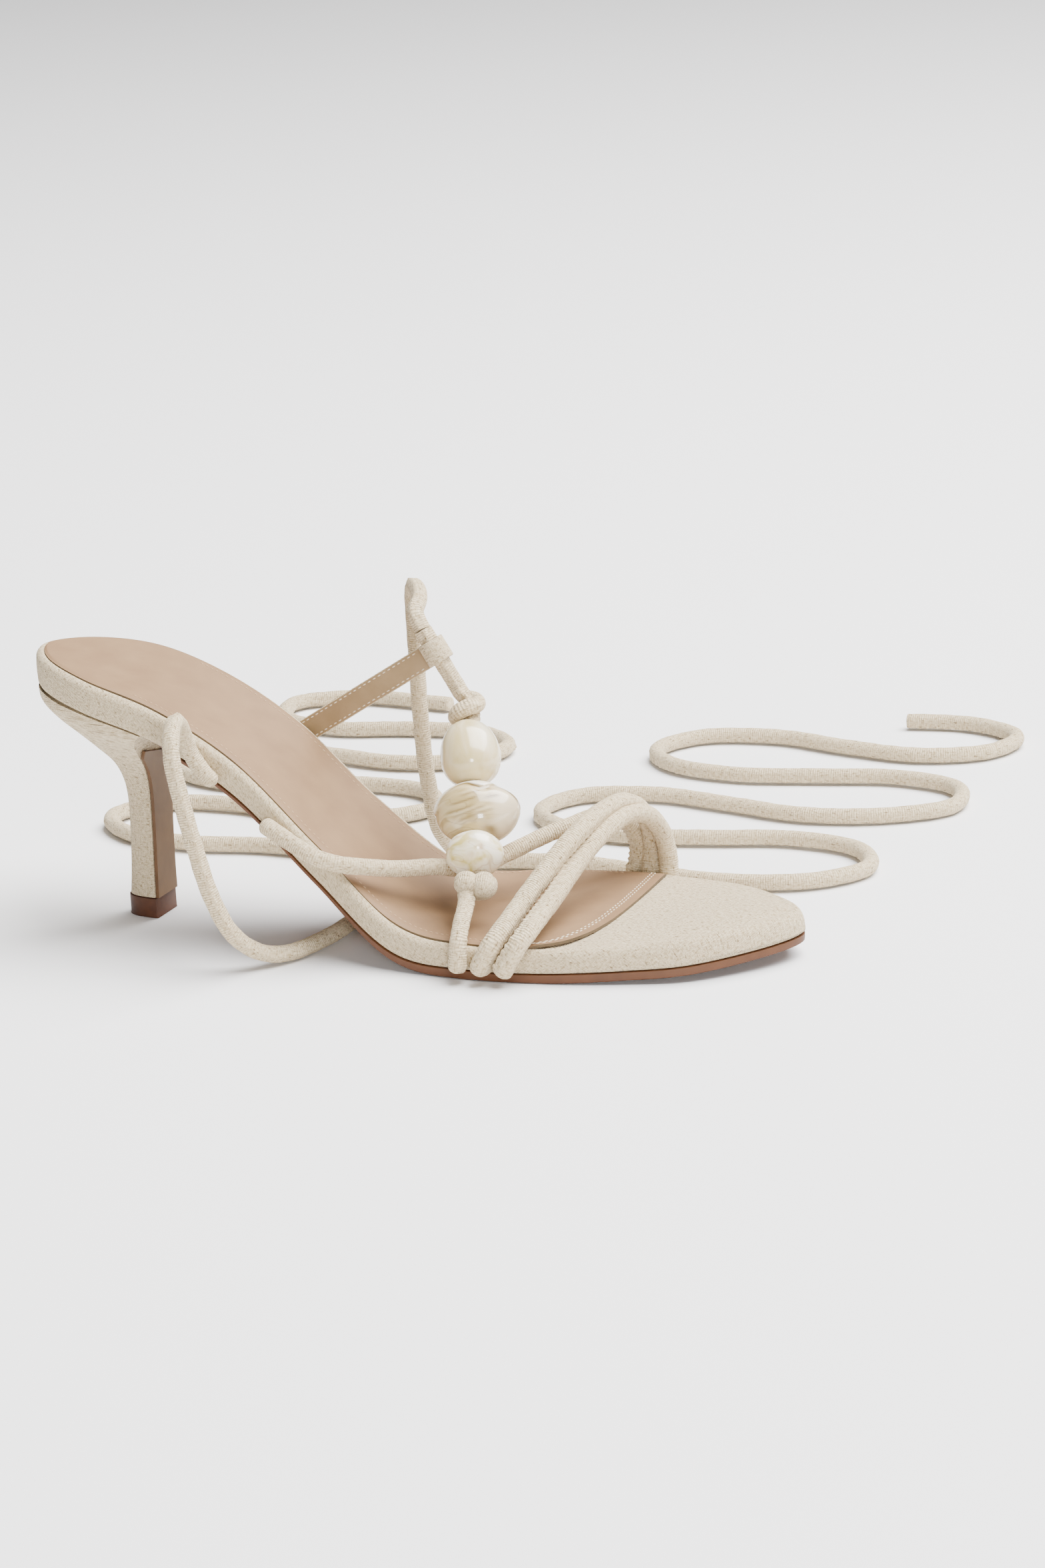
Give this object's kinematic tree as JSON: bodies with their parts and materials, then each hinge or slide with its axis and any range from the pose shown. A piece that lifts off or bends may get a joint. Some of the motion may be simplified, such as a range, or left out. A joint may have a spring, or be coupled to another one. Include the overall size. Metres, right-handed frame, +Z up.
{
  "type": "strappy heeled sandal",
  "caption": "Right heeled sandal: linen-wrapped footbed, thin outsole, slim heel, round cord straps joined at the toe, knotted bead cord, loop tab and loose ankle ties.",
  "frame": {"origin": "on the floor under the middle of the shoe's box, the loose ties not counted", "axes": "+X from heel to toe, +Z up, -Y to the lateral (outer) side of this right shoe"},
  "size_m": [0.2693, 0.3012, 0.096],
  "materials": {
    "linen": "matt woven linen with flecks",
    "tan_sheet": "matt",
    "tan_outsole": "smooth, low sheen",
    "red_brown_rubber": "matt",
    "swirled_resin": "polished"
  },
  "bodies": {
    "root": {"footbed": "linen", "sock": "tan_sheet", "outsole": "tan_outsole", "heel": "linen", "heel_tip": "red_brown_rubber", "heel_breast_facing": "tan_sheet", "upper_straps": "linen", "bead_cord": "linen", "small_bead": "swirled_resin", "swirl_bead": "swirled_resin", "oval_bead": "swirled_resin", "loop_tab": "linen", "lateral_tie": "linen", "medial_tie": "linen"}
  },
  "joints": []
}
